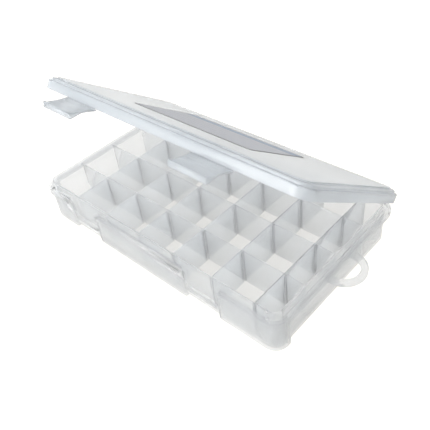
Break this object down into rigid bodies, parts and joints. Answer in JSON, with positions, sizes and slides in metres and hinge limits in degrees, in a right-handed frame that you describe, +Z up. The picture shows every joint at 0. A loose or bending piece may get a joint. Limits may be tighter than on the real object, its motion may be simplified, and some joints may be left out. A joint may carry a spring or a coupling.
{
  "type": "compartment storage box",
  "caption": "Flat translucent plastic organizer box with a hinged lid, removable compartment dividers, front latches and a hang loop.",
  "frame": {"origin": "middle of the tray's underside, between its walls, on the surface it stands on", "axes": "+X along the front to the hang loop's end, -Y out of the latch side, +Z up"},
  "size_m": [0.3005, 0.1695, 0.1334],
  "materials": {
    "tray": "frosted translucent",
    "lid": "frosted translucent",
    "divider": "frosted translucent",
    "label": "plain satin label"
  },
  "bodies": {
    "base": {"base_tray": "tray", "divider_row1_slot1": "divider", "divider_row1_slot2": "divider", "divider_row1_slot3": "divider", "divider_row1_slot4": "divider", "divider_row1_slot5": "divider", "divider_row1_slot6": "divider", "divider_row2_slot1": "divider", "divider_row2_slot2": "divider", "divider_row2_slot3": "divider", "divider_row2_slot4": "divider", "divider_row2_slot5": "divider", "divider_row2_slot6": "divider", "divider_row3_slot1": "divider", "divider_row3_slot2": "divider", "divider_row3_slot3": "divider", "divider_row3_slot4": "divider", "divider_row3_slot5": "divider", "divider_row3_slot6": "divider", "divider_row4_slot1": "divider", "divider_row4_slot2": "divider", "divider_row4_slot3": "divider", "divider_row4_slot4": "divider", "divider_row4_slot5": "divider", "divider_row4_slot6": "divider"},
    "lid": {"lid": "lid", "lid_label": "label"},
    "latch_left": {"latch_left": "lid"},
    "latch_right": {"latch_right": "lid"}
  },
  "joints": [
    {"name": "lid_hinge", "type": "hinge", "parent": "base", "child": "lid", "pos_m": [0, 0.0818, 0.0302], "axis": [-1, 0, 0], "range_deg": [-34.7, 80.3]},
    {"name": "latch_left_fold", "type": "hinge", "parent": "lid", "child": "latch_left", "pos_m": [-0.0825, -0.0504, 0.1249], "axis": [-1, 0, 0], "range_deg": [-72, 23]},
    {"name": "latch_right_fold", "type": "hinge", "parent": "lid", "child": "latch_right", "pos_m": [0.0638, -0.0504, 0.1249], "axis": [-1, 0, 0], "range_deg": [-72, 23]}
  ]
}
